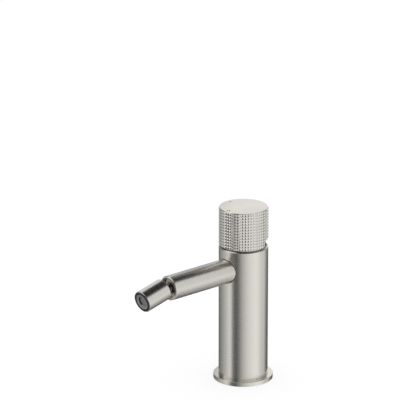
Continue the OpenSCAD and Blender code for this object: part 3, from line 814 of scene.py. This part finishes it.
def makeCap():
    c = cap
    outline = [
        (0, c["plugBottom"]), (c["plug"], c["plugBottom"]), (c["plug"], c["rimBottom"]), (c["rim"], c["rimBottom"]),
        (c["rim"], c["top"] - c["bevel"]), (c["rim"] - c["bevel"], c["top"]), (0, c["top"]),
    ]
    obj = turnPiece("handleCap", outline, closed=False)
    softenEdges(obj, c["edge"], 4)
    floor, above = c["top"] - c["markDepth"], c["top"] + overCut
    cutWith(obj, drill(c["dotRadius"], (*c["dot"], floor), (*c["dot"], above), c["dotSides"]))
    ring = drill(c["ringOut"], (*c["ring"], floor), (*c["ring"], above), c["ringSides"])
    cutWith(ring, drill(c["ringIn"], (*c["ring"], floor - overCut), (*c["ring"], above + overCut), c["ringSides"]))
    cutWith(obj, ring)
    evenShade(obj)
    finishPiece(obj, nickelCap, "handle", ["handle_cap"])


# Plug over the grub screw

plug = {"radius": 2.7, "start": 19.0, "end": 21.6, "height": 154.91, "edge": 0.25, "steps": 64}


def makePlug():
    p = plug
    outline = [(0, p["start"]), (p["radius"], p["start"]), (p["radius"], p["end"]), (0, p["end"])]
    obj = turnPiece("grubPlug", outline, p["steps"], closed=False)
    softenEdges(obj, p["edge"], 3)
    evenShade(obj)
    obj.rotation_euler = (math.radians(-90), 0, 0)
    obj.location = (0, 0, p["height"] * mm)
    applyPlace(obj)
    finishPiece(obj, nickelKnurl, "handle", ["grub_plug"])


# Cover over the cartridge nut, seen through the handle's notch

nutCover = {
    "bore": 14.7, "collar": 15.3, "radius": 19.4, "bottom": 126.5, "plate": 0.8, "height": 5.0, "edge": 0.15,
    "lipIn": 17.2, "lipOut": 18.0, "lipTop": 128.6, "steps": 128,
}


def makeNutCover():
    c = nutCover
    plate, top = c["bottom"] + c["plate"], c["bottom"] + c["height"]
    outline = [
        (c["bore"], c["bottom"]), (c["radius"], c["bottom"]), (c["radius"], plate),
        (c["lipOut"], plate), (c["lipOut"], c["lipTop"]), (c["lipIn"], c["lipTop"]), (c["lipIn"], plate),
        (c["collar"], plate), (c["collar"], top), (c["bore"], top),
    ]
    obj = turnPiece("nutCover", outline, c["steps"])
    softenEdges(obj, c["edge"])
    evenShade(obj)
    finishPiece(obj, nickelUpright, "mixer_body", ["nut_cover"])


# Pieces kept as they are, with their finishes

keptNodes = {
    "base_seal": blackRubber, "foot_seals": blackRubber, "block_seals": blackRubber, "spout_seal": blackRubber,
    "stem_seal": blackRubber, "cartridge_seals": blackRubber, "aerator_washer": blackRubber,
    "body_screws": brightSteel, "tilt_pin": brightSteel, "spindle": brightSteel, "grub_screw": brightSteel,
    "mounting_foot": turnedBrass, "valve_block": turnedBrass, "cartridge_nut": turnedBrass,
    "cartridge_base": whiteAcetal, "cartridge_casing": whiteAcetal, "rotor": whiteAcetal, "disc_carrier": whiteAcetal,
    "ball_seat": whiteAcetal, "fixed_disc": paleCeramic, "moving_disc": paleCeramic,
    "handle_adapter": dieCast, "index_marks": blackAcetal,
}


def dressKeptNodes():
    for name, material in keptNodes.items():
        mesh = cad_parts[name].data
        mesh.materials.clear()
        mesh.materials.append(material)


# Stage: floor, white surround and the dark flags that the metal mirrors

floorLook = {"size": 4.0, "diffuse": (0.36, 0.36, 0.36), "roughness": 0.9, "glow": 0.70}
surround = {"white": 1.0, "room": 0.9}
cameraSide = -42.4        # degrees, direction of the camera seen from the tap
# bearings in degrees from the camera, anticlockwise seen from above; stops are (bearing, darkness)
flags = [
    {"name": "slotFlag", "radius": 1.0, "low": -1.6, "fadeLow": 0.1, "high": 1.0, "fadeTop": 0.3,
     "stops": [(-62, 0.0), (-54, 0.509), (-47, 0.867), (-30, 0.95), (-24, 0.853), (-18, 0.0)]},
    {"name": "rampFlag", "radius": 1.02, "low": -1.6, "fadeLow": 0.1, "high": 0.217, "fadeTop": 0.3,
     "stops": [(-26, 0.0), (-20, 0.826), (-8, 0.589), (8, 0.361), (24, 0.169), (40, 0.09), (56, 0.0)]},
    {"name": "backFlag", "radius": 1.1, "low": -1.8, "fadeLow": 0.1, "high": 0.142, "fadeTop": 0.4,
     "stops": [(70, 0.0), (96, 0.272), (112, 0.234), (128, 0.775), (142, 0.93), (175, 0.93), (218, 0.85),
               (248, 0.675), (280, 0.375), (300, 0.0)]},
    {"name": "underFlag", "radius": 1.13, "low": -1.9, "fadeLow": 0.1, "high": -0.336, "fadeTop": 0.3,
     "stops": [(74, 0.0), (96, 0.36), (116, 0.36), (138, 0.6), (168, 0.7), (182, 0.0)]},
    {"name": "leftFlag", "radius": 1.05, "low": 0.0, "fadeLow": 0.2, "high": 1.2, "fadeTop": 0.3,
     "stops": [(200, 0.0), (216, 0.85), (252, 0.85), (264, 0.0)]},
    {"name": "cornerFlag", "radius": 1.07, "low": 0.5, "fadeLow": 0.3, "high": 1.5, "fadeTop": 0.2,
     "stops": [(92, 0.0), (104, 0.95), (172, 0.94), (182, 0.24), (190, 0.0)]},
    {"name": "sideFlag", "radius": 1.12, "low": -0.25, "fadeLow": 0.4, "high": 1.0, "fadeTop": 0.2,
     "stops": [(54, 0.0), (68, 0.2), (100, 0.2), (114, 0.0)]},
    {"name": "apronFlag", "radius": 1.04, "low": 0.18, "fadeLow": 0.08, "high": 0.54, "fadeTop": 0.1,
     "stops": [(-30, 0.0), (-22, 0.75), (-8, 0.75), (0, 0.64), (8, 0.5), (16, 0.38), (28, 0.14), (60, 0.0),
               (90, 0.05), (98, 0.45), (106, 0.62), (124, 0.7), (140, 0.45), (156, 0.0)]},
]
# flat flags above and below, reaching out from the tap's axis; darkness runs from front to back
levelFlags = [
    {"name": "roofFlag", "height": 0.9, "right": 0.927, "left": 0.5, "back": 0.625, "front": 1.15,
     "rightFade": 0.4, "leftFade": 0.25, "backFade": 0.19, "frontFade": 0.3, "darkFront": 1.0, "darkBack": 1.0},
    {"name": "floorFlag", "height": -0.9, "right": 0.95, "left": 1.2, "back": 1.2, "front": 1.1,
     "rightFade": 0.7, "leftFade": 0.3, "backFade": 0.3, "frontFade": 0.3, "darkFront": 0.3, "darkBack": 0.85},
]
spoutCard = {
    "behind": 0.16, "left": -0.104, "right": -0.009, "sideFade": 0.06,
    "low": 0.02, "top": 0.24, "topFade": 0.03, "dark": 0.95,
}
flagTone = (0.022, 0.021, 0.020)
flagSides, flagMargin = 144, 0.03      # facets of a full round, radians kept past the last stop


def lightPathMask(tree):
    path = tree.nodes.new("ShaderNodeLightPath")
    seen = mathNode(tree, "MAXIMUM", path.outputs["Is Camera Ray"], path.outputs["Is Glossy Ray"])
    return mathNode(tree, "MAXIMUM", seen, path.outputs["Is Transmission Ray"])


def makeFloor():
    clearSelection()
    bpy.ops.mesh.primitive_plane_add(size=floorLook["size"], location=(0, 0, 0))
    obj = bpy.context.object
    obj.name = obj.data.name = "studioFloor"
    material, tree, shader = newMaterial("paleFloor")
    shader.inputs["Base Color"].default_value = (*floorLook["diffuse"], 1)
    shader.inputs["Roughness"].default_value = floorLook["roughness"]
    shader.inputs["Specular IOR Level"].default_value = 0.0
    shader.inputs["Emission Color"].default_value = (1, 1, 1, 1)
    glow = mathNode(tree, "MULTIPLY", lightPathMask(tree), floorLook["glow"])
    tree.links.new(glow, shader.inputs["Emission Strength"])
    obj.data.materials.append(material)
    obj.visible_glossy = False      # the metal mirrors the surround below the floor's edge instead


def makeSurround():
    world = bpy.data.worlds.new("whiteSurround")
    scene.world = world
    world.use_nodes = True
    tree = world.node_tree
    tree.nodes.clear()
    output = tree.nodes.new("ShaderNodeOutputWorld")
    light = tree.nodes.new("ShaderNodeBackground")
    light.inputs["Color"].default_value = (1, 1, 1, 1)
    level = tree.nodes.new("ShaderNodeMapRange")
    level.inputs["To Min"].default_value = surround["room"]
    level.inputs["To Max"].default_value = surround["white"]
    tree.links.new(lightPathMask(tree), level.inputs["Value"])
    tree.links.new(level.outputs["Result"], light.inputs["Strength"])
    tree.links.new(light.outputs[0], output.inputs["Surface"])


def flagMaterial(name):
    material = bpy.data.materials.new(name)
    material.use_nodes = True
    tree = material.node_tree
    tree.nodes.clear()
    output = tree.nodes.new("ShaderNodeOutputMaterial")
    dark = tree.nodes.new("ShaderNodeEmission")
    dark.inputs["Color"].default_value = (*flagTone, 1)
    clear = tree.nodes.new("ShaderNodeBsdfTransparent")
    mix = tree.nodes.new("ShaderNodeMixShader")
    tree.links.new(clear.outputs[0], mix.inputs[1])
    tree.links.new(dark.outputs[0], mix.inputs[2])
    tree.links.new(mix.outputs[0], output.inputs["Surface"])
    coords = tree.nodes.new("ShaderNodeTexCoord")
    split = tree.nodes.new("ShaderNodeSeparateXYZ")
    tree.links.new(coords.outputs["Object"], split.inputs[0])
    return material, tree, split, mix.inputs[0]


def setFlagRays(obj):
    obj.visible_camera = obj.visible_diffuse = obj.visible_shadow = False
    obj.visible_transmission = obj.visible_volume_scatter = False


def makeCurvedFlag(flag):
    clearSelection()
    stops = flag["stops"]
    first, last = stops[0][0], stops[-1][0]
    middle = math.radians((first + last) / 2 + cameraSide)
    half = math.radians((last - first) / 2)
    bpy.ops.mesh.primitive_cylinder_add(vertices=flagSides, radius=flag["radius"], depth=flag["high"] - flag["low"],
                                        end_fill_type="NOTHING", rotation=(0, 0, middle),
                                        location=(0, 0, (flag["high"] + flag["low"]) / 2))
    obj = bpy.context.object
    obj.name = obj.data.name = flag["name"]
    pickFaces(obj, lambda c, normal: abs(math.atan2(c.y, c.x)) > half + flagMargin)
    bpy.ops.mesh.delete(type="FACE")
    bpy.ops.object.mode_set(mode="OBJECT")
    material, tree, split, factor = flagMaterial(flag["name"])
    bearing = mathNode(tree, "ARCTAN2", split.outputs["Y"], split.outputs["X"])
    ramp = tree.nodes.new("ShaderNodeValToRGB")
    tree.links.new(spread(tree, bearing, 0, 1, -half, half), ramp.inputs[0])
    marks = ramp.color_ramp.elements
    for angle, darkness in stops:
        position = (angle - first) / (last - first)
        stop = marks[0] if angle == first else marks[-1] if angle == last else marks.new(position)
        stop.color = (darkness, darkness, darkness, 1)
    edge = (flag["high"] - flag["low"]) / 2
    fade = mathNode(tree, "MULTIPLY", spread(tree, split.outputs["Z"], 1, 0, edge - flag["fadeTop"], edge),
                    spread(tree, split.outputs["Z"], 0, 1, -edge, flag["fadeLow"] - edge))
    tree.links.new(mathNode(tree, "MULTIPLY", ramp.outputs["Color"], fade), factor)
    obj.data.materials.append(material)
    setFlagRays(obj)


def makeLevelFlag(flag):
    clearSelection()
    bpy.ops.mesh.primitive_plane_add(size=1, location=(0, 0, flag["height"]),
                                     rotation=(0, 0, math.radians(cameraSide)))
    obj = bpy.context.object
    obj.name = obj.data.name = flag["name"]
    for corner in obj.data.vertices:     # X runs towards the camera, Y to its right
        corner.co.x = flag["front"] if corner.co.x > 0 else -flag["back"]
        corner.co.y = flag["right"] if corner.co.y > 0 else -flag["left"]
    material, tree, split, factor = flagMaterial(flag["name"])
    parts = [
        spread(tree, split.outputs["X"], 1, 0, flag["front"] - flag["frontFade"], flag["front"]),
        spread(tree, split.outputs["X"], 0, 1, -flag["back"], flag["backFade"] - flag["back"]),
        spread(tree, split.outputs["Y"], 1, 0, flag["right"] - flag["rightFade"], flag["right"]),
        spread(tree, split.outputs["Y"], 0, 1, -flag["left"], flag["leftFade"] - flag["left"]),
        spread(tree, split.outputs["X"], flag["darkBack"], flag["darkFront"], -flag["back"], flag["front"]),
    ]
    level = parts[0]
    for part in parts[1:]:
        level = mathNode(tree, "MULTIPLY", level, part)
    tree.links.new(level, factor)
    obj.data.materials.append(material)
    setFlagRays(obj)


def makeSpoutCard():
    c = spoutCard
    clearSelection()
    bpy.ops.mesh.primitive_plane_add(size=1, location=(0, 0, 0), rotation=(0, 0, math.radians(cameraSide)))
    obj = bpy.context.object
    obj.name = obj.data.name = "spoutCard"
    for corner in obj.data.vertices:     # stands upright behind the tap
        across, up = corner.co.x > 0, corner.co.y > 0
        corner.co = (-c["behind"], c["right"] if across else c["left"], c["top"] if up else c["low"])
    material, tree, split, factor = flagMaterial("spoutCard")
    parts = [
        spread(tree, split.outputs["Y"], 1, 0, c["right"] - c["sideFade"], c["right"]),
        spread(tree, split.outputs["Y"], 0, 1, c["left"], c["left"] + c["sideFade"]),
        spread(tree, split.outputs["Z"], c["dark"], 0, c["top"] - c["topFade"], c["top"]),
    ]
    sides = mathNode(tree, "MULTIPLY", parts[0], parts[1])
    tree.links.new(mathNode(tree, "MULTIPLY", sides, parts[2]), factor)
    obj.data.materials.append(material)
    setFlagRays(obj)


addCamera()
makeFlange()
makeShell()
makeSpout()
makeBallStem()
makeLiner()
makeNozzle()
makeHousing()
makeInsert()
print("body, spout and nozzle modelled")
makeSleeve()
makeCap()
makePlug()
makeNutCover()
print("handle modelled")
dressKeptNodes()
print("kept nodes dressed:", len(keptNodes))
makeFloor()
makeSurround()
for flag in flags:
    makeCurvedFlag(flag)
for flag in levelFlags:
    makeLevelFlag(flag)
makeSpoutCard()
clearSelection()
print("stage set")
